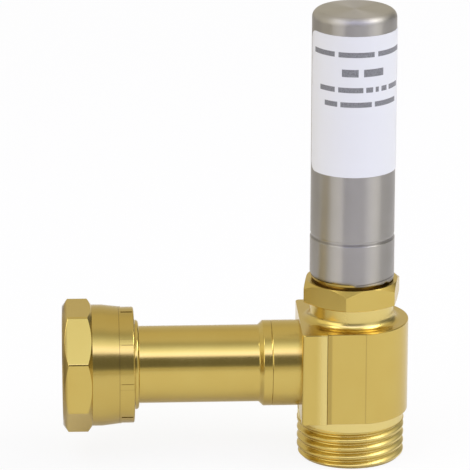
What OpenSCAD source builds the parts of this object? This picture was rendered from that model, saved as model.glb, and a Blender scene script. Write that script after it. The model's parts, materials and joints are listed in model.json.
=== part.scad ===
// Water hammer arrestor on a hose-thread tee.
// A brass tee carries a swivel hose nut on its arm, a male hose thread below and a
// screwed-in cartridge above: a drawn stainless can with a piston under a cushion of air.
// Origin: centre of the outlet thread's end face. +Z runs up the can, -X along the arm.

/* [Outlet] */
// Outer diameter of the outlet's hose thread
thread_d = 26.9; // [25:0.1:28]
// Length of the threaded stretch
thread_len = 9.7; // [7:0.1:12]
// Chamfer on the thread's end
thread_chamfer = 1; // [0.3:0.1:1.2]
// Drop from the thread's crests to the plain band above it
band_drop = 0.15; // [0.05:0.05:0.6]
// Height of the plain band
band_h = 2.55; // [1:0.05:5]
// Diameter of the waterway up the outlet
outlet_bore_d = 14; // [11:0.1:15.5]

/* [Tee body] */
// Height of the body
body_h = 23.7; // [23:0.1:30]
// Diameter of the body's round side
body_d = 28.6; // [28.2:0.1:32]
// Depth of the front and back flats below the round side
flat_drop = 0.5; // [0.2:0.05:2]
// Rise of the step from the flats to the block
step_h = 0.5; // [0.2:0.1:1]
// Distance from the outlet's axis to the step
step_x = 6.9; // [3:0.1:9]
// Distance from the outlet's axis to the block's face
block_x = 13.15; // [12.5:0.05:16]
// Rounding of the block's upright corners
block_round = 1; // [0.3:0.1:3]
// Margin that the boss leaves above and below it on the block's face
boss_margin = 1.1; // [0.5:0.05:2]
// Length of the boss
boss_len = 7; // [4:0.1:12]
// Wall of the neck that takes the cartridge
neck_wall = 2.3; // [1.8:0.1:4]
// Height of the neck
neck_h = 4.75; // [3:0.05:9]
// Fillet at the neck's foot
neck_fillet = 2.1; // [0.5:0.1:2.6]

/* [Tailpiece] */
// Diameter of the waterway along the arm
arm_bore_d = 13; // [11:0.1:14]
// Wall of the stub that screws into the boss
stub_wall = 2.2; // [1.2:0.1:2.8]
// Length of that stub
stub_len = 6; // [4:0.1:9]
// Length of the shoulder that meets the boss
shoulder_len = 2.15; // [1:0.05:5]
// Length of the cone from the shoulder to the tube
cone_len = 1.1; // [0.4:0.1:3]
// Diameter of the tube
tube_d = 19.35; // [17:0.05:21]
// Length of the tube
tube_len = 30; // [15:0.1:60]
// Rise of the journal that the nut turns on above the tube
journal_rise = 0.55; // [0.3:0.05:1]
// Rise of the collar behind the nut above the journal
collar_rise = 1; // [0.8:0.05:2]
// Width of the collar
collar_w = 0.9; // [0.8:0.05:3]
// Rounding on the collar's tube side
collar_round = 0.7; // [0.2:0.1:0.8]
// Rise of the flange that holds the nut above the journal
flange_rise = 2.3; // [1.5:0.1:3]
// Thickness of the flange
flange_w = 2.5; // [1.5:0.1:4]

/* [Swivel nut] */
// Length of the nut's thread, from the washer's chamber to the open rim
nut_thread_len = 9.5; // [7:0.05:14]
// Wall of the skirt outside the chamber
nut_wall = 1.3; // [1.2:0.1:3]
// Number of sides of the grip
grip_sides = 8; // [6:2:12]
// Rise of the grip's flats above the skirt
grip_rise = 0.3; // [0.1:0.05:1.5]
// Length of the grip, chamfers included
grip_len = 7.3; // [5:0.1:8]
// Length of the chamfer at the open rim
rim_chamfer_len = 1.35; // [0.3:0.05:2]
// Depth of that chamfer at the grip's corners
rim_chamfer = 1.85; // [0.3:0.05:2]
// Length of the chamfer behind the grip
back_chamfer_len = 1.2; // [0.5:0.05:2]
// Drop from the skirt to the crimped band at the rear
crimp_drop = 0.5; // [0.2:0.05:0.8]
// Length of the crimped band
crimp_len = 3.8; // [2.5:0.1:4]
// Length over which the skirt draws in to the crimp
draw_len = 4.2; // [2:0.1:5]
// Number of crimping jaws that left their mark
jaw_count = 8; // [6:1:12]
// Width of the rib left between two jaws
rib_w = 1.5; // [0.8:0.1:2.5]
// Depth that the jaws pressed below the ribs
rib_h = 0.15; // [0.05:0.05:0.3]
// Rounding on the rear edge
rear_round = 0.4; // [0.1:0.1:0.8]
// Chamfer at the thread's mouth
mouth_chamfer = 0.6; // [0.2:0.1:0.9]
// Thickness of the rear wall that rides on the journal
rear_wall = 2; // [1.2:0.1:2.6]
// Turn of the grip's corner from straight up
nut_turn = 19; // [0:1:45]

/* [Hose washer] */
// Outer diameter of the washer
washer_d = 25.4; // [22:0.1:26]
// Hole in the washer
washer_bore_d = 15.9; // [13:0.1:18]
// Thickness of the washer
washer_t = 3.2; // [2:0.1:4]

/* [Cartridge base] */
// Land of the hexagon's flats outside the neck
hex_land = 0.9; // [0.5:0.1:3]
// Height of the hexagon
hex_h = 5.65; // [4:0.05:8]
// Fall of the top chamfer at the corners
hex_top_drop = 1.4; // [0.5:0.1:1.8]
// Rise of the bottom chamfer at the corners
hex_foot_rise = 0.8; // [0.3:0.1:1.5]
// Turn of a corner from +X
hex_turn = 20; // [0:1:59]
// Diameter of the shank that screws into the neck
shank_d = 16.4; // [15.9:0.1:17]
// Length of the shank
shank_len = 8; // [5:0.1:10]
// Diameter of the waterway up to the piston
base_bore_d = 9; // [5:0.1:11]
// Drop from the can's skirt to the shoulder that its edge is rolled against
shoulder_drop = 0.35; // [0.2:0.05:0.7]
// Relief groove under the shoulder: depth
relief_depth = 1; // [0.5:0.1:1.5]
// Relief groove under the shoulder: height
relief_h = 0.6; // [0.3:0.1:0.7]
// Stretch of the spigot above the bead
spigot_top_len = 2.6; // [1.5:0.1:5]

/* [Can] */
// Outer diameter of the can
can_d = 20.95; // [19:0.05:22]
// Flare of the skirt below the bead
skirt_flare = 0.08; // [0:0.01:0.5]
// Wall of the can
can_wall = 0.6; // [0.4:0.05:0.8]
// Length of the can
can_len = 68.1; // [50:0.1:110]
// Height of the can's edge above the hexagon
can_lift = 1.2; // [0.8:0.1:3]
// Rounding of the closed end
can_round = 2; // [1:0.1:4]
// Rounding of the rolled-in edge
lip_round = 0.8; // [0.7:0.05:1.2]
// Height of the locking bead above the edge
bead_z = 10.5; // [8:0.1:14]
// Radius of the tool that rolled the bead
bead_r = 0.7; // [0.4:0.1:1]
// Depth of the bead
bead_depth = 0.4; // [0.2:0.05:0.5]

/* [Piston] */
// Length of the piston
piston_len = 16; // [10:0.1:24]
// Diameter of the hollow under the piston
piston_hollow_d = 11; // [6:0.1:12]
// Thickness of the crown above that hollow
piston_crown = 5; // [2:0.1:8]
// Distance from each end to its seal ring
piston_ring_inset = 3; // [2:0.1:5]
// Edge chamfer on the piston
piston_chamfer = 0.6; // [0.2:0.1:1]

/* [Seal rings] */
// Section of the piston's rings
piston_ring_t = 2; // [1.5:0.1:2.5]
// Section of the ring between can and spigot
can_ring_t = 1.8; // [1.2:0.1:2.2]
// Height of that ring above the can's edge
can_ring_z = 5; // [3:0.1:6]
// Section of the ring at the top of the neck
neck_ring_t = 1.1; // [0.8:0.05:1.2]

/* [Label] */
// Height of the label
label_h = 35.8; // [20:0.1:45]
// Width of the label around the can
label_w = 32.5; // [15:0.1:60]
// Thickness of the label
label_t = 0.12; // [0.05:0.01:0.3]
// Distance from the can's closed end to the label
label_drop = 4.4; // [3:0.1:12]
// Direction that the label's middle faces, from +X
label_turn = -82; // [-180:1:180]

/* [Fits] */
// Radial clearance of the nut's thread on a hose thread of the outlet's size
thread_gap = 0.15; // [0.05:0.01:0.3]
// Relief of the nut's chamber outside the thread, the flange and the washer
chamber_gap = 0.3; // [0.25:0.05:0.6]
// Radial clearance of the screwed joints
screw_gap = 0.05; // [0.02:0.01:0.1]
// Radial clearance of turning and sliding fits
run_gap = 0.08; // [0.03:0.01:0.1]
// Radial clearance at a seal ring's outside
seal_gap = 0.03; // [0.01:0.01:0.06]
// End play of the nut, and of the piston on its stop
end_gap = 0.3; // [0.2:0.05:0.5]
// Side play of a seal ring in its groove
groove_play = 0.3; // [0.1:0.05:0.5]
// Film of glue behind the label
glue_gap = 0.02; // [0.01:0.01:0.05]

/* [Hidden] */
$fn = 96;
brass = "#cfb05a";
steel = "#a8a49b";
rubber = "#202020";
// Overlap that joins two shapes of one piece, and overrun of a cut
weld = 0.5;
hex_sides = 6;

// Heights up the can's axis
body_z = thread_len + band_h;
arm_z = body_z + body_h / 2;
top_z = body_z + body_h;
hex_z = top_z + neck_h;
hex_top_z = hex_z + hex_h;
edge_z = hex_top_z + can_lift;
ring_z = edge_z + can_ring_z;
lock_z = edge_z + bead_z;
spigot_z = lock_z + spigot_top_len;
can_z = edge_z + can_len;
piston_z = spigot_z + end_gap;

// Distances along the arm from the can's axis
boss_end = block_x + boss_len;
tube_start = boss_end + shoulder_len + cone_len;
collar_start = tube_start + tube_len;
collar_end = collar_start + collar_w;
nut_rear = collar_end + end_gap;
flange_start = nut_rear + rear_wall + end_gap;
flange_end = flange_start + flange_w;
washer_end = flange_end + washer_t;
chamber_end = washer_end + end_gap;
nut_front = chamber_end + nut_thread_len;
grip_back = nut_front - grip_len;
crimp_end = nut_rear + crimp_len;

// Radii and widths that two pieces share
thread_r = thread_d / 2;
band_r = thread_r - band_drop;
flat_y = body_d / 2 - flat_drop;
boss_r = body_h / 2 - boss_margin;
stub_r = arm_bore_d / 2 + stub_wall;
shank_r = shank_d / 2;
neck_r = shank_r + neck_wall;
hex_r = neck_r + hex_land;
tube_r = tube_d / 2;
journal_r = tube_r + journal_rise;
collar_r = journal_r + collar_rise;
flange_r = journal_r + flange_rise;
nut_thread_r = thread_r + thread_gap;
chamber_r = max(nut_thread_r, flange_r, washer_d / 2) + chamber_gap;
skirt_r = chamber_r + nut_wall;
crimp_r = skirt_r - crimp_drop;
can_skirt_d = can_d + 2 * skirt_flare;
can_bore_r = can_d / 2 - can_wall;
skirt_bore_r = can_skirt_d / 2 - can_wall;
lip_r = can_skirt_d / 2 - lip_round;
bead_x = can_d / 2 + bead_r - bead_depth;
piston_r = can_bore_r - run_gap;

// Turns a shape drawn up +Z so that it runs out along the arm
module along_arm() {
    translate([0, 0, arm_z]) rotate([0, -90, 0]) children();
}

// Half-section of a tube from height z0 to z1
module wall_section(r0, r1, z0, z1) {
    translate([r0, z0]) square([r1 - r0, z1 - z0]);
}

// Ring of round section: r is the radius to its outside
module seal_ring(r, t, z) {
    color(rubber) translate([0, 0, z]) rotate_extrude() translate([r - t / 2, 0]) circle(d = t);
}

// Groove for a seal ring that reaches out to radius r
module ring_groove(r, t, z) {
    root = r - seal_gap - t - seal_gap;
    half = (t + groove_play) / 2;
    rotate_extrude() wall_section(root, r + weld, z - half, z + half);
}

// Prism with n sides whose corners are turned off by cones at both ends:
// at height 0 the cone starts at radius r0 and rises by c0 per mm, and so on at height h
module turned_prism(n, corner_r, h, r0, c0, r1, c1, turn) {
    far_r = corner_r + weld;
    intersection() {
        rotate(turn) cylinder(r = corner_r, h = h, $fn = n);
        rotate_extrude() polygon([[0, 0], [r0, 0], [far_r, (far_r - r0) * c0],
            [far_r, h - (far_r - r1) * c1], [r1, h], [0, h]]);
    }
}

// Outline of the tee's body seen from above
module body_plan() {
    block_y = flat_y + step_h;
    intersection() {
        circle(d = body_d);
        translate([-block_x, -flat_y]) square([block_x + body_d, 2 * flat_y]);
    }
    // The flats run on from the round side to the step
    translate([-step_x - weld, -flat_y]) square([step_x + weld, 2 * flat_y]);
    translate([block_round - block_x, -block_y]) square([block_x - block_round - step_x, 2 * block_y]);
    translate([-block_x, block_round - block_y]) square([block_round + weld, 2 * (block_y - block_round)]);
    for (side = [0, 1])
        mirror([0, side]) {
            translate([block_round - block_x, block_round - block_y]) circle(r = block_round);
            // Hollow fillet at the foot of the step
            translate([-step_x, flat_y]) difference() {
                translate([-weld, -weld]) square(step_h + weld);
                translate([step_h, step_h]) circle(r = step_h);
            }
        }
}

// Forged and turned tee: outlet thread, body, boss for the arm and neck for the cartridge
module tee_body() {
    // The fillet ends before the block's face
    fillet_r = min(neck_fillet, block_x - neck_r - weld);
    color(brass) difference() {
        union() {
            rotate_extrude() polygon([[0, 0], [thread_r - thread_chamfer, 0], [thread_r, thread_chamfer],
                [thread_r, thread_len], [band_r, thread_len], [band_r, body_z], [block_x - weld, body_z],
                [block_x - weld, body_z + weld], [0, body_z + weld]]);
            translate([0, 0, body_z]) linear_extrude(body_h) body_plan();
            translate([0, 0, top_z - weld]) cylinder(r = neck_r, h = neck_h + weld);
            rotate_extrude() translate([neck_r, top_z]) difference() {
                translate([-weld, -weld]) square(fillet_r + weld);
                translate([fillet_r, fillet_r]) circle(r = fillet_r);
            }
            along_arm() translate([0, 0, step_x]) cylinder(r = boss_r, h = boss_end - step_x);
        }
        // Waterway from the outlet up to the cartridge
        translate([0, 0, -weld]) cylinder(d = outlet_bore_d, h = hex_z);
        // Port that the cartridge screws into, and the seat of its seal ring
        translate([0, 0, hex_z - shank_len - end_gap])
            cylinder(r = shank_r + screw_gap, h = shank_len + end_gap + weld);
        translate([0, 0, hex_z - neck_ring_t - seal_gap])
            cylinder(r = shank_r + neck_ring_t + 2 * seal_gap, h = neck_ring_t + seal_gap + weld);
        // Waterway and stub socket in the arm
        along_arm() cylinder(d = arm_bore_d, h = boss_end);
        along_arm() translate([0, 0, boss_end - stub_len - end_gap])
            cylinder(r = stub_r + screw_gap, h = stub_len + end_gap + weld);
    }
}

// Turned tube with its screwed stub, the collar and journal for the nut, and the end flange
module inlet_tailpiece() {
    color(brass) along_arm() rotate_extrude() difference() {
        union() {
            wall_section(0, stub_r, boss_end - stub_len, boss_end + weld);
            polygon([[0, boss_end], [boss_r, boss_end], [boss_r, boss_end + shoulder_len],
                [tube_r, tube_start], [tube_r, collar_start + weld], [0, collar_start + weld]]);
            wall_section(0, collar_r - collar_round, collar_start, collar_end);
            wall_section(0, collar_r, collar_start + collar_round, collar_end);
            translate([collar_r - collar_round, collar_start + collar_round]) circle(r = collar_round);
            wall_section(0, journal_r, collar_start, flange_end);
            wall_section(0, flange_r, flange_start, flange_end);
        }
        wall_section(0, arm_bore_d / 2, boss_end - stub_len - weld, flange_end + weld);
        // Keeps the collar's rounding on its own side of the nut
        wall_section(journal_r, flange_r, collar_end, flange_start);
    }
}

// Octagon hose nut: grip, skirt drawn in to the crimped band, thread and chamber inside
module swivel_nut() {
    grip_r = (skirt_r + grip_rise) / cos(180 / grip_sides);
    rim_r = grip_r - rim_chamfer;
    jaw_r = crimp_r - rib_h;
    color(brass) along_arm() difference() {
        union() {
            translate([0, 0, grip_back])
                turned_prism(grip_sides, grip_r, grip_len, skirt_r, back_chamfer_len / (grip_r - skirt_r),
                    rim_r, rim_chamfer_len / rim_chamfer, nut_turn);
            rotate_extrude() polygon([[0, crimp_end - weld], [crimp_r, crimp_end - weld],
                [crimp_r, crimp_end], [skirt_r, crimp_end + draw_len], [skirt_r, grip_back + weld],
                [0, grip_back + weld]]);
            rotate_extrude() {
                wall_section(0, jaw_r - rear_round, nut_rear, crimp_end);
                wall_section(0, jaw_r, nut_rear + rear_round, crimp_end);
                translate([jaw_r - rear_round, nut_rear + rear_round]) circle(r = rear_round);
            }
            for (k = [0 : jaw_count - 1])
                intersection() {
                    translate([0, 0, nut_rear + rear_round])
                        cylinder(r = crimp_r, h = crimp_len - rear_round);
                    rotate(nut_turn + (k + 0.5) * 360 / jaw_count)
                        translate([jaw_r - rear_round, -rib_w / 2, nut_rear])
                        cube([crimp_r, rib_w, crimp_len]);
                }
        }
        // Journal hole, chamber and thread, with the chamfer at the mouth
        rotate_extrude() {
            wall_section(0, journal_r + run_gap, nut_rear - weld, nut_rear + rear_wall + weld);
            wall_section(0, chamber_r, nut_rear + rear_wall, chamber_end);
            wall_section(0, nut_thread_r, chamber_end - weld, nut_front + weld);
            polygon([[0, nut_front - mouth_chamfer], [nut_thread_r, nut_front - mouth_chamfer],
                [nut_thread_r + mouth_chamfer + weld, nut_front + weld], [0, nut_front + weld]]);
        }
    }
}

// Flat rubber washer on the flange
module hose_washer() {
    color(rubber) along_arm() rotate_extrude()
        wall_section(washer_bore_d / 2, washer_d / 2, flange_end, washer_end);
}

// Half-section of the can's form, taken in by t
module can_form(t) {
    difference() {
        union() {
            wall_section(0, can_d / 2 - t, lock_z, can_z - can_round);
            wall_section(0, can_d / 2 - can_round, lock_z, can_z - t);
            translate([can_d / 2 - can_round, can_z - can_round]) circle(r = can_round - t);
            wall_section(0, can_skirt_d / 2 - t, edge_z + lip_round, lock_z);
            translate([lip_r, edge_z + lip_round]) circle(r = lip_round - t);
            wall_section(0, lip_r, edge_z, edge_z + lip_round);
        }
        translate([bead_x, lock_z]) circle(r = bead_r + t);
    }
}

// Hexagon with its screwed shank below and the spigot that the can is rolled onto above
module cartridge_base() {
    corner_r = hex_r / cos(180 / hex_sides);
    stem_r = lip_r - screw_gap;
    shoulder_r = can_skirt_d / 2 - shoulder_drop;
    color(brass) difference() {
        union() {
            translate([0, 0, hex_z - shank_len]) cylinder(r = shank_r, h = shank_len + weld);
            translate([0, 0, hex_z])
                turned_prism(hex_sides, corner_r, hex_h, neck_r, hex_foot_rise / (corner_r - neck_r),
                    hex_r, hex_top_drop / (corner_r - hex_r), hex_turn);
            rotate_extrude() difference() {
                union() {
                    wall_section(0, shoulder_r, hex_top_z - weld, edge_z - screw_gap);
                    wall_section(0, stem_r, edge_z - weld, edge_z + lip_round);
                    wall_section(0, skirt_bore_r - screw_gap, edge_z + lip_round, lock_z);
                    wall_section(0, can_bore_r - screw_gap, lock_z, spigot_z);
                }
                wall_section(shoulder_r - relief_depth, can_d, hex_top_z, hex_top_z + relief_h);
                translate([bead_x, lock_z]) circle(r = bead_r + can_wall + screw_gap);
            }
        }
        ring_groove(skirt_bore_r, can_ring_t, ring_z);
        translate([0, 0, hex_z - shank_len - weld])
            cylinder(d = base_bore_d, h = spigot_z - hex_z + shank_len + 2 * weld);
    }
}

// Ring that seals the hexagon on the neck
module neck_o_ring() {
    seal_ring(shank_r + seal_gap + neck_ring_t, neck_ring_t, hex_z - neck_ring_t / 2);
}

// Deep-drawn can: closed top, locking bead, edge rolled in under the spigot
module pressure_can() {
    color(steel) rotate_extrude() difference() {
        can_form(0);
        can_form(can_wall);
        wall_section(0, lip_r, edge_z - weld, edge_z + lip_round);
    }
}

// Ring that seals the can on the spigot
module can_o_ring() {
    seal_ring(skirt_bore_r - seal_gap, can_ring_t, ring_z);
}

// Moulded piston, hollow from below, with a groove near each end
module piston() {
    color("#e6e2d6") difference() {
        rotate_extrude() polygon([[0, piston_z], [piston_r - piston_chamfer, piston_z],
            [piston_r, piston_z + piston_chamfer], [piston_r, piston_z + piston_len - piston_chamfer],
            [piston_r - piston_chamfer, piston_z + piston_len], [0, piston_z + piston_len]]);
        translate([0, 0, piston_z - weld])
            cylinder(d = piston_hollow_d, h = piston_len - piston_crown + weld);
        ring_groove(can_bore_r, piston_ring_t, piston_z + piston_ring_inset);
        ring_groove(can_bore_r, piston_ring_t, piston_z + piston_len - piston_ring_inset);
    }
}

// Lower seal ring on the piston
module piston_o_ring_lower() {
    seal_ring(can_bore_r - seal_gap, piston_ring_t, piston_z + piston_ring_inset);
}

// Upper seal ring on the piston
module piston_o_ring_upper() {
    seal_ring(can_bore_r - seal_gap, piston_ring_t, piston_z + piston_len - piston_ring_inset);
}

// Paper label wrapped part of the way round the can
module label() {
    inner_r = can_d / 2 + glue_gap;
    span = label_w / inner_r * 180 / PI;
    color("#dedfe4") translate([0, 0, can_z - label_drop - label_h])
        rotate(label_turn - span / 2) rotate_extrude(angle = span)
        wall_section(inner_r, inner_r + label_t, 0, label_h);
}

tee_body();
inlet_tailpiece();
swivel_nut();
hose_washer();
cartridge_base();
neck_o_ring();
pressure_can();
can_o_ring();
piston();
piston_o_ring_lower();
piston_o_ring_upper();
label();
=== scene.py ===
# %% [markdown]
# # A water hammer arrestor in brass and steel
# The real object stops pipes from banging. Water comes in through the swivel nut on the left and leaves
# through the hose thread below, and a piston in the steel can gives way when a valve shuts too fast.
# The lesson dresses the finished CAD solids: it cuts real threads, breaks the sharp edges, rolls the can's
# edge unevenly, and gives every surface a finish made of nodes.

# %% Load the frame
import json
import math

import bpy
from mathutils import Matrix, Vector


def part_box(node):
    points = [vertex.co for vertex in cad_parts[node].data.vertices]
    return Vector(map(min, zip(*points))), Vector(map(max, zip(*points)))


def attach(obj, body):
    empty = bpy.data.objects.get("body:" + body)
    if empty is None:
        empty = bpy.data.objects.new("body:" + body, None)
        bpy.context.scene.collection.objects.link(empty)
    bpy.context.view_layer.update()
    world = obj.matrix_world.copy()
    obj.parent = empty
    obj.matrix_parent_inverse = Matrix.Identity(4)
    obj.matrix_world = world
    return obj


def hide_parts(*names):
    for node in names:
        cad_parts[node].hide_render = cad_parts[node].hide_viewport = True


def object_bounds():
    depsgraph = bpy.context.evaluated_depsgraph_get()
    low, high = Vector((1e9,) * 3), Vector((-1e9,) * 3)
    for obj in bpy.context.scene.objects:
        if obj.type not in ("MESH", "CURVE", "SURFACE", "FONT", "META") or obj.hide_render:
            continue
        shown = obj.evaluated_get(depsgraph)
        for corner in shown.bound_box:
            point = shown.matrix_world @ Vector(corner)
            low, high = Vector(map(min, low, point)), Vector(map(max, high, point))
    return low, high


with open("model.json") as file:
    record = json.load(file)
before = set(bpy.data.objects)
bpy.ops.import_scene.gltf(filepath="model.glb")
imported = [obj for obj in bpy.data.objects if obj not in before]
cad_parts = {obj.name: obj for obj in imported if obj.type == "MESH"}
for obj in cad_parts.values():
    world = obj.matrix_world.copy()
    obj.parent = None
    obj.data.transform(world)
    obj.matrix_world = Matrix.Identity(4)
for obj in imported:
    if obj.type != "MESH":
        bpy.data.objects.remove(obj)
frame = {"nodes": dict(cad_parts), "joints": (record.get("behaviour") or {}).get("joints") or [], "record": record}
cad_box = [list(corner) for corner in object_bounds()]
print("nodes:", ", ".join(sorted(frame["nodes"])))

# %% [markdown]
# ## Sizes
# A maker measures the blank before cutting it. The threads, the arm's axis and the heights of the pieces are
# all in the frame, as mounts, as joints or as the boxes of the nodes, so they are read and not typed again.

# %% Read sizes from the frame
MM = 0.001
mounts = {mount["name"]: mount for mount in frame["record"]["mounts"]}
joints = {joint["name"]: joint for joint in frame["joints"]}
arm_z = joints["nut_swivel"]["pos_m"][2]
thread_r = mounts["outlet_thread"]["dims"]["r_mm"] * MM
nut_thread_r = mounts["inlet_thread"]["dims"]["r_mm"] * MM
tee_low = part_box("tee_body")[0]
nut_low, nut_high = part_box("swivel_nut")
washer_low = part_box("hose_washer")[0]
can_low, can_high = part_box("pressure_can")
label_low, label_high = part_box("label")
print(f"arm axis at {arm_z / MM:.2f} mm, outlet thread {2 * thread_r / MM:.2f} mm across")

# %% [markdown]
# ## Working in edit mode
# An operator acts on whatever is selected, so each step first says which vertices, edges or faces it means,
# by their place. A copy of a CAD solid arrives as loose triangles: its doubles are merged and its flat faces
# are joined again before anything is cut.

# %% Helpers for edit mode
TINY = 0.01 * MM
TOUCHING = 0.0005 * MM
FLAT_ANGLE = math.radians(0.2)
SHARP_ANGLE = math.radians(20)


def activate(piece):
    bpy.ops.object.select_all(action="DESELECT")
    piece.select_set(True)
    bpy.context.view_layer.objects.active = piece


def open_mesh(piece, kind, where):
    """Opens a piece in edit mode, with the vertices, edges or faces selected for which where() holds."""
    activate(piece)
    bpy.ops.object.mode_set(mode="EDIT")
    bpy.ops.mesh.select_mode(type=kind)
    bpy.ops.mesh.select_all(action="DESELECT")
    bpy.ops.object.mode_set(mode="OBJECT")
    mesh = piece.data
    for item in {"VERT": mesh.vertices, "EDGE": mesh.edges, "FACE": mesh.polygons}[kind]:
        item.select = where(item)
    bpy.ops.object.mode_set(mode="EDIT")


def close_mesh():
    bpy.ops.object.mode_set(mode="OBJECT")


def copy_node(node, name):
    """A welded copy of a CAD node's mesh, with its triangles joined into flat faces."""
    piece = bpy.data.objects.new(name, frame["nodes"][node].data.copy())
    bpy.context.scene.collection.objects.link(piece)
    piece.data.materials.clear()
    open_mesh(piece, "VERT", lambda vertex: True)
    bpy.ops.mesh.customdata_custom_splitnormals_clear()
    bpy.ops.mesh.remove_doubles(threshold=TOUCHING)
    bpy.ops.mesh.dissolve_limited(angle_limit=FLAT_ANGLE)
    close_mesh()
    return piece


def round_edges(piece, width, where, segments=2):
    """Breaks the sharp edges of a piece for whose two ends where() holds."""
    open_mesh(piece, "EDGE", lambda edge: False)
    bpy.ops.mesh.edges_select_sharp(sharpness=SHARP_ANGLE)
    close_mesh()
    points = piece.data.vertices
    chosen = [edge for edge in piece.data.edges if edge.select]
    keep = {edge.index for edge in chosen if all(where(points[i].co) for i in edge.vertices)}
    open_mesh(piece, "EDGE", lambda edge: edge.index in keep)
    bpy.ops.mesh.bevel(offset=width, segments=segments, affect="EDGES", clamp_overlap=False)
    close_mesh()
    print(f"{piece.name}: {len(keep)} edges rounded by {width / MM:.2f} mm")


def shade(piece, angle=9):
    """Smooth shading on curves, with flat faces kept flat."""
    activate(piece)
    bpy.ops.object.shade_smooth_by_angle(angle=math.radians(angle))
    weighted = piece.modifiers.new("flat faces", "WEIGHTED_NORMAL")
    weighted.keep_sharp = True
    bpy.ops.object.modifier_apply(modifier=weighted.name)


def axis_distance(point):
    """Distance from the can's upright axis."""
    return math.hypot(point.x, point.y)


def arm_distance(point):
    """Distance from the arm's axis."""
    return math.hypot(point.y, point.z - arm_z)


# %% [markdown]
# ## The tee's body
# The body is a forging whose faces were milled and turned. Its shape is right in CAD, so a copy of the solid
# is the blank. Milling leaves edges that a file has touched once: a narrow bevel there catches the light as
# the real edge does. The plain wall where the outlet's thread goes is taken off, because a thread needs
# grooves and not a wall.

# %% Copy the body and take off the plain outlet wall
THREAD_LENGTH = 9.7 * MM
BODY_FOOT = 12.25 * MM
BODY_TOP = 35.95 * MM
OUTLET_BORE_R = 7 * MM
STEP_X = -6.9 * MM
FLAT_Y = 13.8 * MM
BOSS_EDGE_R = 9 * MM
BODY_EDGE = 0.2 * MM

tee = copy_node("tee_body", "tee")


def plain_wall(face):
    corners = [tee.data.vertices[i].co for i in face.vertices]
    low = all(corner.z < THREAD_LENGTH + TINY for corner in corners)
    return low and any(axis_distance(corner) > OUTLET_BORE_R + TINY for corner in corners)


def body_rim(point):
    on_rim = min(abs(point.z - BODY_TOP), abs(point.z - BODY_FOOT)) < TINY
    boss_end = abs(point.x - tee_low.x) < TINY and arm_distance(point) > BOSS_EDGE_R
    return boss_end or (on_rim and axis_distance(point) > thread_r)


round_edges(tee, BODY_EDGE, body_rim)
open_mesh(tee, "FACE", plain_wall)
bpy.ops.mesh.delete(type="FACE")
close_mesh()

# %% [markdown]
# ## The outlet's thread
# A hose thread is a groove wound round the stem. The Screw modifier winds one pitch of its outline up the
# axis, which keeps every crest an unbroken line; a displaced cylinder would need many more faces and still
# look frayed. The wound surface is trimmed level at both ends, and its first turn is chamfered so that a hose
# starts easily. Its two open rims are then bridged to those of the body.

# %% Wind the outlet's thread
PITCH = 2.209 * MM
THREAD_DEPTH = 0.9 * MM
CREST = 0.55 * MM
ROOT = 0.25 * MM
CREST_ROUND = 0.22 * MM
END_CHAMFER = 1 * MM
RUN_OUT = 0.35 * MM
CREST_DROP = 1.7 * MM
OUTLET_TURNS = 8
TURNS_BELOW = 6
STEPS_PER_TURN = 120
CLOSE = 0.001 * MM


def draw_line(name, points):
    """A line of edges, drawn by extruding one vertex from point to point."""
    bpy.ops.object.select_all(action="DESELECT")
    bpy.ops.mesh.primitive_plane_add(size=1)
    line = bpy.context.object
    line.name = name
    open_mesh(line, "VERT", lambda vertex: vertex.index > 0)
    bpy.ops.mesh.delete(type="VERT")
    bpy.ops.mesh.select_all(action="SELECT")
    here = line.data.vertices[0].co.copy()
    for step, point in enumerate(points):
        move = {"value": Vector(point) - here}
        if step == 0:
            bpy.ops.transform.translate(**move)
        else:
            bpy.ops.mesh.extrude_region_move(TRANSFORM_OT_translate=move)
        here = Vector(point)
    close_mesh()
    return line


def wind(line, turns):
    """Winds a line up the Z axis, one pitch per turn."""
    activate(line)
    screw = line.modifiers.new("winding", "SCREW")
    screw.axis = "Z"
    screw.screw_offset = PITCH
    screw.iterations = turns
    screw.steps = STEPS_PER_TURN
    screw.render_steps = STEPS_PER_TURN
    bpy.ops.object.modifier_apply(modifier=screw.name)
    open_mesh(line, "VERT", lambda vertex: True)
    bpy.ops.mesh.remove_doubles(threshold=CLOSE)
    close_mesh()


def trim(piece, height, above):
    """Cuts a piece level at a height and throws away what lies above or below."""
    open_mesh(piece, "FACE", lambda face: True)
    bpy.ops.mesh.bisect(plane_co=(0, 0, height), plane_no=(0, 0, 1), clear_outer=above,
                        clear_inner=not above, threshold=CLOSE)
    close_mesh()


first_crest = THREAD_LENGTH - CREST_DROP
root_r = thread_r - THREAD_DEPTH
half = PITCH / 2
outline = [
    (root_r, -half),
    (root_r, ROOT / 2 - half),
    (thread_r, -CREST / 2),
    (thread_r, CREST / 2),
    (root_r, half - ROOT / 2),
    (root_r, half),
]
lowest_turn = first_crest - TURNS_BELOW * PITCH
outlet_thread = draw_line("outlet_thread", [(r, 0, lowest_turn + z) for r, z in outline])
open_mesh(outlet_thread, "VERT", lambda vertex: abs(vertex.co.z - lowest_turn) < half - TINY)
bpy.ops.mesh.bevel(offset=CREST_ROUND, segments=2, affect="VERTICES")
close_mesh()
wind(outlet_thread, OUTLET_TURNS)
trim(outlet_thread, 0, above=False)
trim(outlet_thread, THREAD_LENGTH, above=True)
for vertex in outlet_thread.data.vertices:
    radius = axis_distance(vertex.co)
    chamfer_r = thread_r - END_CHAMFER + vertex.co.z
    run_out = min(1, (THREAD_LENGTH - vertex.co.z) / RUN_OUT)
    wanted = min(thread_r - (thread_r - radius) * run_out, chamfer_r)
    vertex.co.x *= wanted / radius
    vertex.co.y *= wanted / radius
print(f"outlet thread: {len(outlet_thread.data.polygons)} faces")

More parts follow.
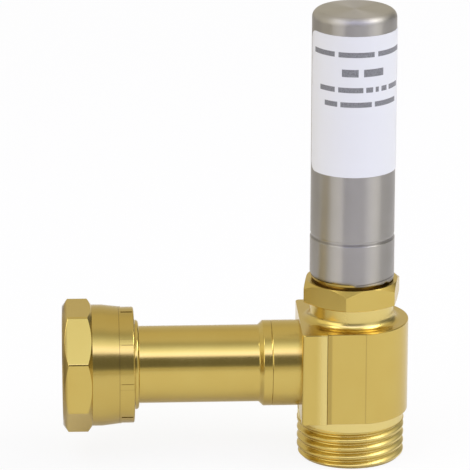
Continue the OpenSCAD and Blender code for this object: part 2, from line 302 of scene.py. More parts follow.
# %% Join the thread to the body
activate(tee)
outlet_thread.select_set(True)
bpy.ops.object.join()
for height in (0, THREAD_LENGTH):
    open_mesh(tee, "EDGE", lambda edge: False)
    bpy.ops.mesh.select_non_manifold(use_wire=False, use_multi_face=False, use_non_contiguous=False,
                                     use_verts=False)
    close_mesh()
    on_plane = {vertex.index for vertex in tee.data.vertices if abs(vertex.co.z - height) < TINY}
    rim = {edge.index for edge in tee.data.edges if edge.select and on_plane.issuperset(edge.vertices)}
    open_mesh(tee, "EDGE", lambda edge: edge.index in rim)
    bpy.ops.mesh.bridge_edge_loops()
    close_mesh()
open_mesh(tee, "VERT", lambda vertex: True)
bpy.ops.mesh.normals_make_consistent(inside=False)
close_mesh()
shade(tee)
print(f"tee: {len(tee.data.polygons)} faces")

# %% [markdown]
# ## The tailpiece
# The arm is a tube turned on a lathe, with a cone, a collar and a hidden flange. A turned edge is never quite
# sharp, so the copy of the solid gets a fine bevel on each outer ring.

# %% Round the tailpiece's rings
TUBE_R = 9.675 * MM
COLLAR_LENGTH = 1.3 * MM
RING_EDGE = 0.15 * MM
tailpiece = copy_node("inlet_tailpiece", "tailpiece")
collar_end = nut_high.x + COLLAR_LENGTH
round_edges(tailpiece, RING_EDGE, lambda point: arm_distance(point) > TUBE_R - TINY and point.x > collar_end)
shade(tailpiece)

# %% [markdown]
# ## The swivel nut
# The nut is pressed and turned: an octagon grip with its corners turned off at both ends, and a skirt crimped
# round the tailpiece by jaws. The ridges between the copy's flats are rounded, and its front edge is broken.
# Inside, a bar is wound for the hose thread: its outline is a closed loop this time, so that the Screw
# modifier makes a solid, which is laid on its side afterwards.

# %% Round the nut's grip
FRONT_CHAMFER = 1.35 * MM
FRONT_EDGE = 0.08 * MM
RIDGE_ROUND = 0.4 * MM
RIDGE_SLACK = 0.05 * MM
nut = copy_node("swivel_nut", "nut")
grip_front = nut_low.x + FRONT_CHAMFER
corner_r = max(arm_distance(vertex.co) for vertex in nut.data.vertices)


def on_front_edge(point):
    return point.x < grip_front + TINY and arm_distance(point) > nut_thread_r + TINY


round_edges(nut, RIDGE_ROUND, lambda point: arm_distance(point) > corner_r - RIDGE_SLACK, segments=4)
round_edges(nut, FRONT_EDGE, on_front_edge)
shade(nut, angle=12)

# %% Wind the nut's inner thread
BURIED = 0.1 * MM
BAR_FOOT = 0.93 * MM
BAR_TIP = 0.16 * MM
BAR_START = 1.6 * MM
NUT_TURNS = 3
foot_r = nut_thread_r + BURIED
tip_r = nut_thread_r - THREAD_DEPTH
bar = [(foot_r, BAR_FOOT), (tip_r, BAR_TIP), (tip_r, -BAR_TIP), (foot_r, -BAR_FOOT)]
thread_start = BAR_START - washer_low.x
nut_thread = draw_line("nut_thread", [(r, 0, thread_start + z) for r, z in bar])
open_mesh(nut_thread, "VERT", lambda vertex: vertex.co.x > nut_thread_r)
bpy.ops.mesh.edge_face_add()
close_mesh()
wind(nut_thread, NUT_TURNS)


def on_end(point, height):
    return abs(point.y) < TINY and point.x > 0 and abs(point.z - height) < PITCH / 2


for height in (thread_start, thread_start + NUT_TURNS * PITCH):
    open_mesh(nut_thread, "VERT", lambda vertex: on_end(vertex.co, height))
    bpy.ops.mesh.edge_face_add()
    close_mesh()
open_mesh(nut_thread, "FACE", lambda face: True)
bpy.ops.mesh.normals_make_consistent(inside=False)
close_mesh()
nut_thread.rotation_euler = (0, -math.pi / 2, 0)
nut_thread.location = (0, 0, arm_z)
activate(nut_thread)
bpy.ops.object.transform_apply(location=True, rotation=True, scale=True)
shade(nut_thread, angle=30)
reach = [vertex.co.x / MM for vertex in nut_thread.data.vertices]
print(f"nut thread spans {min(reach):.1f} to {max(reach):.1f} mm")

# %% [markdown]
# ## The cartridge's hexagon
# The hexagon is bar stock whose corners the lathe has turned off. Its copy needs only its corners and its
# lower edges broken. The line of the turned cone above them stays crisp.

# %% Round the hexagon's edges
NECK_R = 10.5 * MM
HEX_FOOT = 40.7 * MM
HEX_TOP = 46.35 * MM
CONE_DROP = 1.4 * MM
CONE_SLACK = 0.1 * MM
HEX_EDGE = 0.15 * MM
hexagon = copy_node("cartridge_base", "hexagon")
corner_top = HEX_TOP - CONE_DROP + CONE_SLACK


def on_corner(point):
    return HEX_FOOT - TINY < point.z < corner_top and axis_distance(point) > NECK_R - TINY


round_edges(hexagon, HEX_EDGE, on_corner)
shade(hexagon)

# %% [markdown]
# ## The can
# The can is deep-drawn steel, and its edge is rolled in under the spigot by a roller that never bites evenly.
# The copy of the solid keeps its crown, and its bead is made shallower. The vertices near the edge are then
# pulled down with the angle. From the front to the right the roller missed: there the edge hangs lower,
# stands out as a small flange and has a nick.

# %% Make the can's bead shallower
CAN_R = 10.475 * MM
BEAD_Z = 58.05 * MM
BEAD_HALF = 0.7 * MM
BEAD_DEPTH = 0.4 * MM
BEAD_LEFT = 0.35
can = copy_node("pressure_can", "can")
skirt_r = can_high.x
for vertex in can.data.vertices:
    radius = axis_distance(vertex.co)
    if abs(vertex.co.z - BEAD_Z) < BEAD_HALF and radius > CAN_R - BEAD_DEPTH - TINY:
        wall_r = skirt_r if vertex.co.z < BEAD_Z else CAN_R
        softened = (wall_r - (wall_r - radius) * BEAD_LEFT) / radius
        vertex.co.x *= softened
        vertex.co.y *= softened
print(f"can: bead {BEAD_DEPTH * BEAD_LEFT / MM:.2f} mm deep")

# %% Roll the can's edge unevenly
ROLL_HEIGHT = 3 * MM
LIP_ROUND = 0.82 * MM
DIP = 0.55 * MM
DIP_STARTS = (-97, -88)
DIP_ENDS = (110, 50)
SAG = 0.4 * MM
SAG_STARTS = (-38, -30)
SAG_ENDS = (90, 40)
FLARE = 0.75
NICK = 0.25 * MM
NICK_TURN = -40
NICK_SIDES = (6, 1)
RIPPLE = 0.06 * MM


def ease(value, start, end):
    """Goes smoothly from 0 where a value is at start to 1 where it is at end."""
    share = min(1, max(0, (value - start) / (end - start)))
    return share * share * (3 - 2 * share)


for vertex in can.data.vertices:
    height = vertex.co.z - can_low.z
    angle = math.atan2(vertex.co.y, vertex.co.x)
    turn = math.degrees(angle)
    missed = ease(turn, *DIP_STARTS) * ease(turn, *DIP_ENDS)
    sagged = ease(turn, *SAG_STARTS) * ease(turn, *SAG_ENDS)
    wave = DIP * missed + SAG * sagged - NICK * ease(abs(turn - NICK_TURN), *NICK_SIDES)
    wave += RIPPLE * (math.sin(7 * angle + 1) + math.sin(13 * angle))
    vertex.co.z -= max(0, 1 - height / ROLL_HEIGHT) ** 2 * wave
    if height < LIP_ROUND:
        radius = axis_distance(vertex.co)
        flared = 1 + (skirt_r - radius) / radius * FLARE * missed
        vertex.co.x *= flared
        vertex.co.y *= flared
shade(can, angle=40)
print(f"can: edge at {min(vertex.co.z for vertex in can.data.vertices) / MM:.2f} mm at its lowest")

# %% [markdown]
# ## The label
# The label is a sheet of film with round corners. A plane is cut to its size, its corners are rounded by a
# vertex bevel, and it is sliced into strips so that it can bend. Each vertex is then wrapped round the can,
# and Solidify gives the film its thickness.

# %% Cut and wrap the label
LABEL_WIDTH = 32.5 * MM
LABEL_CORNER = 2.4 * MM
LABEL_TURN = -82
FILM_THICKNESS = 0.12 * MM
STRIPS = 72
glue_r = max(abs(label_low.y), abs(label_high.x)) - FILM_THICKNESS
label_middle = math.radians(LABEL_TURN)
label_height = label_high.z - label_low.z
bpy.ops.object.select_all(action="DESELECT")
bpy.ops.mesh.primitive_plane_add(size=1)
label = bpy.context.object
label.name = "label_film"
label.scale = (LABEL_WIDTH, label_height, 1)
bpy.ops.object.transform_apply(location=True, rotation=True, scale=True)
open_mesh(label, "VERT", lambda vertex: True)
bpy.ops.mesh.bevel(offset=LABEL_CORNER, segments=8, affect="VERTICES")
for strip in range(1, STRIPS):
    bpy.ops.mesh.select_all(action="SELECT")
    cut = (strip / STRIPS - 0.5) * LABEL_WIDTH
    bpy.ops.mesh.bisect(plane_co=(cut, 0, 0), plane_no=(1, 0, 0))
close_mesh()
for vertex in label.data.vertices:
    along, up = vertex.co.x, vertex.co.y
    angle = label_middle + along / glue_r
    height = label_low.z + label_height / 2 + up
    vertex.co = (glue_r * math.cos(angle), glue_r * math.sin(angle), height)
activate(label)
solidify = label.modifiers.new("film", "SOLIDIFY")
solidify.thickness = FILM_THICKNESS
solidify.offset = 1
bpy.ops.object.modifier_apply(modifier=solidify.name)
shade(label, angle=30)
print(f"label: {len(label.data.polygons)} faces")

# %% [markdown]
# ## Shader maths
# A finish is mostly arithmetic on coordinates, and arithmetic reads best as arithmetic. `Wire` wraps one
# output socket, so that `1 - wear` or `x * 400` adds a Math node. `Nodes` fills a node tree, and its `node`
# method adds any other node. `Finish` is the tree of one material, and `drive` links a result to its shader.

# %% The classes that finishes are written with
class Wire:
    """An output socket that takes part in sums."""

    def __init__(self, finish, socket):
        self.finish = finish
        self.socket = socket

    def maths(self, operation, *values):
        return self.finish.node("ShaderNodeMath", {"operation": operation}, dict(enumerate(values)))

    def __add__(self, other):
        return self.maths("ADD", self, other)

    def __sub__(self, other):
        return self.maths("SUBTRACT", self, other)

    def __rsub__(self, other):
        return self.maths("SUBTRACT", other, self)

    def __mul__(self, other):
        return self.maths("MULTIPLY", self, other)

    def __truediv__(self, other):
        return self.maths("DIVIDE", self, other)

    def __lt__(self, other):
        return self.maths("LESS_THAN", self, other)

    def __gt__(self, other):
        return self.maths("GREATER_THAN", self, other)

    def __abs__(self):
        return self.maths("ABSOLUTE", self)

    __radd__ = __add__
    __rmul__ = __mul__


class Nodes:
    """A node tree that is filled from Python."""

    def __init__(self, tree):
        self.tree = tree

    def node(self, kind, settings, inputs, output=0):
        """Adds a node, sets it up, fills its sockets with values or wires, and returns one output."""
        node = self.tree.nodes.new(kind)
        for name, value in settings.items():
            if name == "stops":
                while len(node.color_ramp.elements) < len(value):
                    node.color_ramp.elements.new(1)
                for element, (position, color) in zip(node.color_ramp.elements, value):
                    element.position = position
                    element.color = color
            else:
                setattr(node, name, value)
        for name, value in inputs.items():
            if isinstance(value, Wire):
                self.tree.links.new(value.socket, node.inputs[name])
            else:
                node.inputs[name].default_value = value
        return Wire(self, node.outputs[output])

    def split(self, vector):
        return [self.node("ShaderNodeSeparateXYZ", {}, {0: vector}, axis) for axis in "XYZ"]

    def noise(self, vector, size, detail):
        """Cloudy noise whose patches are about size metres across."""
        return self.node("ShaderNodeTexNoise", {}, {"Vector": vector, "Scale": 1 / size, "Detail": detail})

    def lines(self, distance, size, detail):
        """Noise that changes along one distance only, as tool marks do."""
        settings = {"noise_dimensions": "1D"}
        return self.node("ShaderNodeTexNoise", settings, {"W": distance, "Scale": 1 / size, "Detail": detail})

    def mix(self, share, first, second):
        inputs = {"Factor": share, "A": first, "B": second}
        return self.node("ShaderNodeMix", {"data_type": "RGBA"}, inputs, "Result")

    def fade(self, value, start, end):
        """Goes smoothly from 0 where a value is at start to 1 where it is at end."""
        inputs = {"Value": value, "From Min": start, "From Max": end}
        return self.node("ShaderNodeMapRange", {"interpolation_type": "SMOOTHSTEP"}, inputs)

    def bump(self, height, distance):
        return self.node("ShaderNodeBump", {}, {"Height": height, "Distance": distance, "Strength": 1})

    def ramp(self, value, stops):
        """A colour that follows a value through (position, colour) stops."""
        return self.node("ShaderNodeValToRGB", {"stops": stops}, {"Fac": value})


class Finish(Nodes):
    """A material on the Principled shader, whose constants are set on the shader's own sockets."""

    def __init__(self, name, **constants):
        self.material = bpy.data.materials.new(name)
        self.material.use_nodes = True
        super().__init__(self.material.node_tree)
        self.shader = self.tree.nodes["Principled BSDF"]
        for socket, value in constants.items():
            self.shader.inputs[socket.replace("_", " ")].default_value = value

    def place(self):
        """Object coordinates as a vector, and its x, y and z."""
        vector = self.node("ShaderNodeTexCoord", {}, {}, "Object")
        return [vector] + self.split(vector)

    def drive(self, socket, wire):
        self.tree.links.new(wire.socket, self.shader.inputs[socket])


# %% [markdown]
# ## Brass
# Turned brass keeps the rings of the tool, which draw a reflection out along the piece. Its colour drifts a
# little where hands and air have dulled it. Where no polishing wheel reached it stays pale and satin. The same
# pale colour is painted as a highlight beside the body's step and as painted light growing towards the right on
# the neck and the thread. A dark colour is painted as shade in the body's corner and crease, along the edges of
# the nut's jaw ribs and on its mouth, and on the hexagon under the can, and it darkens the nut's skirt a little.
# The finish is made once. Each piece says along which axis its rings follow each other, and by functions of the
# place where it is paler, where it is darker, and where its rings follow the can's axis instead.

# %% Brass
BRASS = (0.61, 0.455, 0.122, 1)
BRASS_WARM = (0.58, 0.415, 0.102, 1)
BRASS_PALE = (0.64, 0.495, 0.142, 1)
# Pale satin brass, also used for painted highlight and painted light
BRASS_SATIN_AND_LIT = (0.8, 0.66, 0.25, 1)
# Dark brass that paints shade, and darkens the nut's skirt a little
BRASS_SHADE = (0.2, 0.12, 0.035, 1)
BRASS_PATCH = 9 * MM
BRASS_STREAK = 0.45 * MM
BRASS_RING = 0.11 * MM


def brass(name, ring_axis, gloss, ring_depth, pale=None, shade_mask=None, upright=None):
    """Turned brass. The last three are functions of the place that say how far it is so there."""
    finish = Finish(name, Metallic=1.0)
    place, x, y, z = finish.place()
    along = {"X": x, "Z": z}[ring_axis]
    if upright:
        turned = upright(finish, x, y, z)
        along = along * (1 - turned) + z * turned
    dulled = finish.noise(place, BRASS_PATCH, 4)
    streaks = finish.lines(along, BRASS_STREAK, 4)
    rings = finish.lines(along, BRASS_RING, 2)
    color = finish.mix(dulled, BRASS_WARM, BRASS_PALE)
    color = finish.mix(streaks * 0.5, color, BRASS)
    roughness = gloss + dulled * 0.06 + streaks * 0.05
    if pale:
        # Paler and rougher where the place says so: real satin on the band, painted highlight and painted light
        # elsewhere on the tee
        satin = pale(finish, x, y, z)
        color = finish.mix(satin, color, BRASS_SATIN_AND_LIT)
        roughness = roughness + satin * 0.12
    # Painted shade where the place says so
    if shade_mask:
        color = finish.mix(shade_mask(finish, x, y, z), color, BRASS_SHADE)
    finish.drive("Base Color", color)
    finish.drive("Roughness", roughness)
    finish.drive("Normal", finish.bump(rings + streaks, ring_depth))
    return finish.material


# %% Paler parts, painted light and painted shade on the tee
CREASE_X = 2.75 * MM
FLAT_SLACK = 0.3 * MM


def pale_and_lit(finish, x, y, z):
    """Where it is paler: the plain satin band above the thread, the thread and the neck a little, a painted
    highlight on the strip beside the body's step, and painted light that grows towards the right on the neck and
    the thread.
    """
    band = finish.fade(z, BODY_FOOT + 0.05 * MM, BODY_FOOT - 0.05 * MM)
    band = band * finish.fade(z, THREAD_LENGTH - 0.1 * MM, THREAD_LENGTH + 0.1 * MM)
    # Painted highlight on the strip beside the body's step
    strip = finish.fade(x, STEP_X - 3 * MM, STEP_X - 0.6 * MM) * (x < STEP_X) * (abs(y) > FLAT_Y + FLAT_SLACK)
    neck = finish.fade(z, BODY_TOP + 0.3 * MM, BODY_TOP + 1.2 * MM)
    thread = finish.fade(z, THREAD_LENGTH + 0.1 * MM, THREAD_LENGTH - 0.1 * MM)
    # Painted light that grows towards the right, on the thread and on the neck
    wear_and_lit_side = finish.fade(x, -4 * MM, 12 * MM)
    neck_lit_right = finish.fade(x, -8 * MM, 1 * MM)
    return band * 0.9 + strip * 0.8 + neck * (0.1 + neck_lit_right * 0.55) + thread * (0.1 + wear_and_lit_side * 0.7)


def lathe_turned(finish, x, y, z):
    """What was turned about the can's axis: the neck above the body, and the band and the thread below it."""
    return (z > BODY_TOP) + (z < BODY_FOOT)


def shaded_corner_and_crease(finish, x, y, z):
    """Painted shade in the corner below the body's step, and a painted shade line near where its flat meets its
    round side.
    """
    corner = finish.fade(abs(x - STEP_X - 0.55 * MM), 0.9 * MM, 0.35 * MM) * (abs(y) < FLAT_Y + FLAT_SLACK)
    line = finish.fade(abs(x - CREASE_X), 0.24 * MM, 0.02 * MM)
    return (corner * 0.35 + line * 0.3) * (abs(y) > FLAT_Y - FLAT_SLACK) * (z > BODY_FOOT)


# %% Painted shade on the nut and the hexagon, and the nut's darker skirt
GRIP_LENGTH = 7.3 * MM
CRIMP_FRONT = -58.4 * MM
CRIMP_R = 14.7 * MM
JAWS = 8
JAW_TURN = 41.5
RIB_HALF = 0.75 * MM
GROOVE_HEIGHT = 0.65 * MM
skirt_front = nut_low.x + GRIP_LENGTH


def jaw_shade_and_dark_skirt(finish, x, y, z):
    """Painted shade along the edges of the ribs that the crimping jaws left, along the front of their band and on
    the mouth, and the skirt a little darker all over.
    """
    turn = finish.node("ShaderNodeMath", {"operation": "ARCTAN2"}, {0: y, 1: z - arm_z})
    pitch = 2 * math.pi / JAWS
    offset = finish.node("ShaderNodeMath", {"operation": "WRAP"},
                         {0: turn - math.radians(JAW_TURN), 1: pitch / 2, 2: -pitch / 2})
    edge = finish.fade(abs(abs(offset) * CRIMP_R - RIB_HALF), 0.2 * MM, 0.03 * MM) * (x > CRIMP_FRONT)
    front = finish.fade(abs(x - CRIMP_FRONT), 0.2 * MM, 0.03 * MM)
    outside = finish.node("ShaderNodeVectorMath", {"operation": "LENGTH"},
                          {0: finish.node("ShaderNodeCombineXYZ", {}, {"X": y, "Y": z - arm_z})}, "Value")
    mouth = finish.fade(x, nut_low.x + 1.3 * MM, nut_low.x + 0.4 * MM)
    skirt = finish.fade(x, skirt_front - 0.2 * MM, skirt_front + 0.2 * MM)
    # Painted shade on the rib edges, the band's front and the mouth; the skirt is darkened a little all over
    return (edge * 0.2 + front * 0.35) * (outside > CRIMP_R - 0.3 * MM) + mouth * 0.6 + skirt * 0.12


def shade_under_can(finish, x, y, z):
    """Painted shade under the can's edge: strong in the relief groove on top of the hexagon, and weaker on the
    shoulder above it.
    """
    groove_top = HEX_TOP + GROOVE_HEIGHT
    in_groove = finish.fade(z, groove_top + 0.1 * MM, groove_top - 0.1 * MM)
    return (z > HEX_TOP + 0.03 * MM) * (0.3 + in_groove * 0.55)


# %% Brass for each piece
brass_tee = brass("brass_tee", "X", 0.16, 0.0015 * MM, pale=pale_and_lit, shade_mask=shaded_corner_and_crease, upright=lathe_turned)
brass_hexagon = brass("brass_hexagon", "Z", 0.2, 0.001 * MM, shade_mask=shade_under_can)
brass_tube = brass("brass_tube", "X", 0.13, 0.003 * MM)
brass_nut = brass("brass_nut", "X", 0.12, 0.0025 * MM, shade_mask=jaw_shade_and_dark_skirt)
print("made", brass_tee.name, brass_hexagon.name, brass_tube.name, brass_nut.name)

# %% [markdown]
# ## Steel
# The can was polished while it turned, so its marks are rings too, closer and stronger than on the brass. On
# the wall they smear every reflection up and down and leave soft upright bands. The crown has a calmer
# finish, because its rings close in on the middle. Painted shade darkens the bead, the can's lowest edge, the
# rolled edge at the left and a line above the flange.

# %% Satin steel
STEEL = (0.47, 0.45, 0.42, 1)
STEEL_DULL = (0.42, 0.4, 0.365, 1)
# The colour that paints shade on the steel
STEEL_SHADE = (0.12, 0.11, 0.1, 1)
EDGE_Z = 47.4 * MM
FLANGE_X = 8 * MM
FLANGE_Z = 47.9 * MM
FLANGE_DROP = 0.4 * MM
CROWN_DEPTH = 1.6 * MM
STEEL_PATCH = 7 * MM
STEEL_RING = 0.12 * MM


def satin(name, smear, gloss):
    """Ringed steel, in which smear is how far a reflection is drawn out across the rings."""
    finish = Finish(name, Metallic=1.0, Anisotropic=smear, Anisotropic_Rotation=0.25)
    place, x, y, z = finish.place()
    dulled = finish.noise(place, STEEL_PATCH, 4)
    rings = finish.lines(z, STEEL_RING, 3)
    # Painted shade: in the bead, at the can's lowest edge, on the rolled edge at the left, and along a line above
    # the flange
    in_bead = finish.fade(abs(z - BEAD_Z + 0.25 * MM), 0.45 * MM, 0.15 * MM)
    at_edge = finish.fade(z, EDGE_Z, EDGE_Z - 0.25 * MM) * finish.fade(x, FLANGE_X, FLANGE_X - 1.5 * MM)
    rolled = finish.fade(z, EDGE_Z + 1.4 * MM, EDGE_Z) * finish.fade(x, 1 * MM, -4 * MM)
    flange_z = FLANGE_Z - finish.fade(x, FLANGE_X, 0) * FLANGE_DROP
    on_flange = finish.fade(abs(z - flange_z), 0.28 * MM, 0.06 * MM) * finish.fade(x, 0, 0.6 * MM)
    painted_shade = in_bead * 0.45 + at_edge * 0.6 + rolled * 0.5 + on_flange * 0.7
    wear_and_lit_side = finish.mix(dulled, STEEL, STEEL_DULL)
    finish.drive("Base Color", finish.mix(painted_shade, wear_and_lit_side, STEEL_SHADE))
    finish.drive("Roughness", gloss + dulled * 0.08 + rings * 0.06)
    finish.drive("Normal", finish.bump(rings, 0.003 * MM))
    return finish.material


steel_wall = satin("steel_wall", 1.0, 0.3)
steel_crown = satin("steel_crown", 0.6, 0.4)
print("made", steel_wall.name, steel_crown.name)

# %% [markdown]
# ## Label, rubber and plastic
# The film is matt white. Its print is kept plain, as rows of short dark bars. Each bar is a stretch of the
# distance round the can, cut out of a row of heights. The rubber has a dusty, uneven gloss, and the piston is
# moulded plastic.

# %% Label film
FILM = (0.8, 0.81, 0.83, 1)
INK = (0.075, 0.075, 0.085, 1)
FILM_GRAIN = 0.25 * MM
film = Finish("label_film", Roughness=0.45)
place, x, y, z = film.place()
angle = film.node("ShaderNodeMath", {"operation": "ARCTAN2"}, {0: y, 1: x})
around = (angle - label_middle) * glue_r
below_top = label_high.z - z
# A row's depth below the top edge, its height, and the two ends of each bar in millimetres round the can
rows = [
    (4.6 * MM, 1.3 * MM, [(-14.0, -7.2), (-6.2, 2.8), (3.8, 13.0)]),
    (9.2 * MM, 1.9 * MM, [(-5.3, -1.2), (0.1, 5.4)]),
    (13.5 * MM, 1.3 * MM, [(-11.6, -7.1), (-6.2, 0.0), (0.7, 2.5), (3.2, 4.1), (4.9, 6.6), (7.4, 11.6)]),
    (17.2 * MM, 1.3 * MM, [(-10.0, -6.4), (-5.6, 2.2), (3.0, 10.4)]),
]
print_mask = 0
for depth, height, bars in rows:
    in_bars = 0
    for left, right in bars:
        half_width = (right - left) / 2 * MM
        centre = (right + left) / 2 * MM
        in_bars = in_bars + (abs(around - centre) < half_width)
    print_mask = print_mask + (abs(below_top - depth) < height / 2) * in_bars
grain = film.noise(place, FILM_GRAIN, 3)
film.drive("Base Color", film.mix(print_mask * (0.55 + grain * 0.5), FILM, INK))
film.drive("Roughness", 0.4 + grain * 0.15)
film.drive("Normal", film.bump(grain, 0.002 * MM))

# %% Rubber and moulded plastic
CLOUD = 2 * MM


def dull(name, color, dusty, roughness, grain_size):
    """A finish with soft clouds of a second colour and a fine grain."""
    finish = Finish(name)
    place = finish.place()[0]
    cloud = finish.noise(place, CLOUD, 4)
    grain = finish.noise(place, grain_size, 2)
    finish.drive("Base Color", finish.mix(cloud, color, dusty))
    finish.drive("Roughness", roughness + cloud * 0.15)
    finish.drive("Normal", finish.bump(grain, 0.01 * MM))
    return finish.material


rubber = dull("seal_rubber", (0.012, 0.012, 0.012, 1), (0.035, 0.034, 0.032, 1), 0.5, 0.12 * MM)
plastic = dull("piston_plastic", (0.72, 0.69, 0.6, 1), (0.66, 0.63, 0.55, 1), 0.38, 0.2 * MM)
print("made", film.material.name, rubber.name, plastic.name)

# %% [markdown]
# ## Putting it together
# Each piece rides on the body that carries it, and the copies hide the solids that they were copied from. The
# table also names the slot that each finish belongs to, but nothing here uses that name. The can's top faces
# take the crown's finish. The seals, the washer and the piston keep their CAD solids and only get a finish.

# %% Ride, replace and paint
dressed = [
    (tee, "tee", "tee_body", "brass", brass_tee),
    (tailpiece, "tee", "inlet_tailpiece", "brass", brass_tube),
    (hexagon, "tee", "cartridge_base", "brass", brass_hexagon),
    (can, "tee", "pressure_can", "steel", steel_wall),
    (label, "tee", "label", "label_film", film.material),
    (nut, "nut", "swivel_nut", "brass", brass_nut),
    (nut_thread, "nut", None, "brass", brass_nut),
]
for piece, body, node, slot, material in dressed:
    piece.data.materials.append(material)
    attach(piece, body)
    if node:
        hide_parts(node)
can.data.materials.append(steel_crown)
for face in can.data.polygons:
    if face.center.z > can_high.z - CROWN_DEPTH:
        face.material_index = 1
for name, node in frame["nodes"].items():
    if name == "piston":
        node.data.materials[0] = plastic
    elif name.endswith(("ring", "lower", "upper", "washer")):
        node.data.materials[0] = rubber
print(f"{len(dressed)} new pieces ride")

# %% [markdown]
# ## Studio
# Polished metal is a picture of its room. A white sheet lies under the object, and painted shade turns it grey far
# to the left.
# The room is painted on the world by angle: a bright panel overhead in front, a bright wall at the left, a
# weaker one at the right, and dim stretches between them. The dim stretch in front draws the dark band along
# the arm. Two small softboxes add highlights and a soft shadow.

# %% Floor
FLOOR_SIZE = 6
SHEET_WHITE = (0.85, 0.85, 0.85, 1)
SHEET_GREY = (0.42, 0.4, 0.37, 1)
SHADE_STARTS = -85 * MM
SHADE_ENDS = -150 * MM
SEEN_GLOW = 0.88
MIRRORED_GLOW = 0.1
bpy.ops.object.select_all(action="DESELECT")
bpy.ops.mesh.primitive_plane_add(size=FLOOR_SIZE, location=(0, 0, cad_box[0][2]))
floor = bpy.context.object
floor.name = "floor"
sheet = Finish("white_sheet", Roughness=0.9)
place, x, y, z = sheet.place()
# Painted shade: the sheet turns grey towards the far left
shaded = sheet.fade(x, SHADE_STARTS, SHADE_ENDS)
sheet.drive("Base Color", sheet.mix(shaded, SHEET_WHITE, SHEET_GREY))
seen = sheet.node("ShaderNodeLightPath", {}, {}, "Is Camera Ray")
mirrored = sheet.node("ShaderNodeLightPath", {}, {}, "Is Glossy Ray")
through = sheet.node("ShaderNodeLightPath", {}, {}, "Is Transmission Ray")
glow = sheet.node("ShaderNodeEmission", {}, {"Color": (1, 1, 1, 1), "Strength": 1.0})
shader = Wire(sheet, sheet.shader.outputs[0])
share = seen * SEEN_GLOW + (mirrored + through) * (1 - shaded) * MIRRORED_GLOW
mixed = sheet.node("ShaderNodeMixShader", {}, {0: share, 1: shader, 2: glow})
sheet.tree.links.new(mixed.socket, sheet.tree.nodes["Material Output"].inputs["Surface"])
floor.data.materials.append(sheet.material)
print(f"floor at {floor.location.z / MM:.2f} mm")

# %% Room
room = bpy.data.worlds.new("room")
bpy.context.scene.world = room
room.use_nodes = True
sky = Nodes(room.node_tree)
toward = sky.node("ShaderNodeTexCoord", {}, {}, "Generated")
right, back, up = sky.split(toward)
front = 0 - back
over = sky.node("ShaderNodeMath", {"operation": "ARCTAN2"}, {0: up, 1: front})
around = sky.node("ShaderNodeMath", {"operation": "ARCTAN2"}, {0: right, 1: front})


def stops(first, last, listed):
    """Ramp stops from angles in degrees."""
    return [((angle - first) / (last - first), (*color, 1)) for angle, color in listed]


DIM = (0.19, 0.19, 0.19)
BACKDROP = (0.72, 0.67, 0.55)
LEFT_BACK = (0.78, 0.74, 0.64)
LEFT_SIDE = (1.1, 1.04, 0.86)
LEFT_FRONT = (2.1, 2.04, 1.96)
RIGHT_FRONT = (0.75, 0.75, 0.72)
SHEET_EDGE = (0.75, 0.73, 0.68, 1)
LEFT_FLANK = (0.3, 0.3, 0.3, 1)
RIGHT_FLANK = (0.75, 0.74, 0.69, 1)
overhead = stops(0, 180, [
    (38.5, DIM),
    (42, (2.0, 2.0, 3.2)),
    (50, (2.1, 2.1, 3.3)),
    (57, (1.5, 1.6, 2.0)),
    (72, (0.75, 0.8, 0.9)),
    (80, (0.55, 0.55, 0.55)),
    (95, (0.8, 0.76, 0.72)),
    (125, (0.78, 0.72, 0.6)),
    (150, (0.6, 0.56, 0.46)),
    (165, BACKDROP),
])
level = stops(-180, 180, [
    (-180, BACKDROP),
    (-152, BACKDROP),
    (-146, LEFT_BACK),
    (-108, LEFT_BACK),
    (-104, LEFT_SIDE),
    (-71, LEFT_SIDE),
    (-67, LEFT_FRONT),
    (-33, LEFT_FRONT),
    (-29, DIM),
    (30, DIM),
    (34, RIGHT_FRONT),
    (74, RIGHT_FRONT),
    (78, DIM),
    (140, DIM),
    (150, BACKDROP),
    (180, BACKDROP),
])
dome = sky.ramp(over / math.pi, overhead)
walls = sky.ramp(around / (2 * math.pi) + 0.5, level)
sideways = sky.fade(abs(right), 0.5, 0.85)
raised = sky.fade(up + sky.fade(right, 0.4, 0.7) * 0.15, 0.6, 0.64)
low = sky.fade(up, 0.165, 0.13) * sky.fade(front, 0.2, 0.45)
walls = sky.mix(low, walls, SHEET_EDGE)
flanks = sky.mix(sky.fade(right, -0.1, 0.1), LEFT_FLANK, RIGHT_FLANK)
light = sky.mix(raised, walls, sky.mix(sideways, dome, flanks))
background = room.node_tree.nodes["Background"]
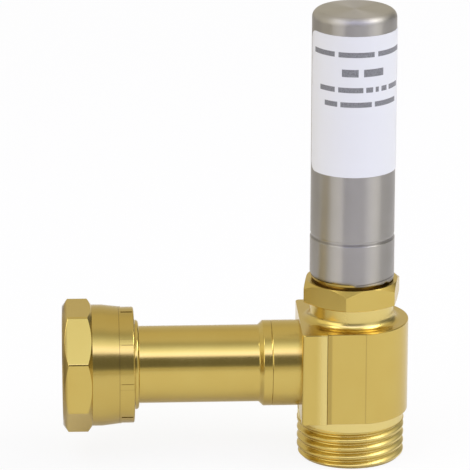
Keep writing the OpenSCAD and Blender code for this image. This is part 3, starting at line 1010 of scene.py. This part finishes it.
room.node_tree.links.new(light.socket, background.inputs["Color"])
print(f"room: {len(overhead)} stops overhead and {len(level)} round the walls")

# %% Softboxes
LIT = Vector((-29 * MM, 0, 45 * MM))


def direction(azimuth, elevation):
    """The way from the object into the room. Azimuth 0 is towards the viewer, and 90 to the right."""
    turn = math.radians(azimuth)
    rise = math.radians(elevation)
    return Vector((math.sin(turn) * math.cos(rise), -math.cos(turn) * math.cos(rise), math.sin(rise)))


def softbox(name, azimuth, elevation, distance, size, power):
    """A square lit panel that faces the object."""
    data = bpy.data.lights.new(name, "AREA")
    data.shape = "SQUARE"
    data.size = size
    data.energy = power
    lamp = bpy.data.objects.new(name, data)
    bpy.context.scene.collection.objects.link(lamp)
    away = direction(azimuth, elevation)
    lamp.location = LIT + away * distance
    lamp.rotation_euler = away.to_track_quat("Z", "Y").to_euler()
    print(f"{name}: {power} W from {distance} m")


softbox("right_softbox", azimuth=78, elevation=52, distance=0.9, size=0.4, power=2.6)
softbox("left_softbox", azimuth=-70, elevation=60, distance=0.9, size=0.3, power=0.8)

# %% [markdown]
# ## Camera
# The photograph was taken from a little to the left of square on and from above, with a long lens about a
# metre away.

# %% Camera
AZIMUTH = -3.0
ELEVATION = 17.69
DISTANCE = 1.079
ROLL = 0.17
SENSOR = 36
PIXELS = 470
PIXELS_PER_METRE = 4020
TARGET = Vector((-29.24 * MM, 0, 57.83 * MM))
lens = bpy.data.cameras.new("camera")
lens.sensor_width = SENSOR
lens.lens = SENSOR * PIXELS_PER_METRE * DISTANCE / PIXELS
camera = bpy.data.objects.new("camera", lens)
bpy.context.scene.collection.objects.link(camera)
toward_camera = direction(AZIMUTH, ELEVATION)
camera.location = TARGET + toward_camera * DISTANCE
camera.rotation_euler = toward_camera.to_track_quat("Z", "Y").to_euler()
camera.rotation_euler.rotate_axis("Z", math.radians(ROLL))
bpy.context.scene.camera = camera
bpy.context.scene.view_settings.view_transform = "Standard"
print(f"camera: {lens.lens:.0f} mm lens at {DISTANCE} m")
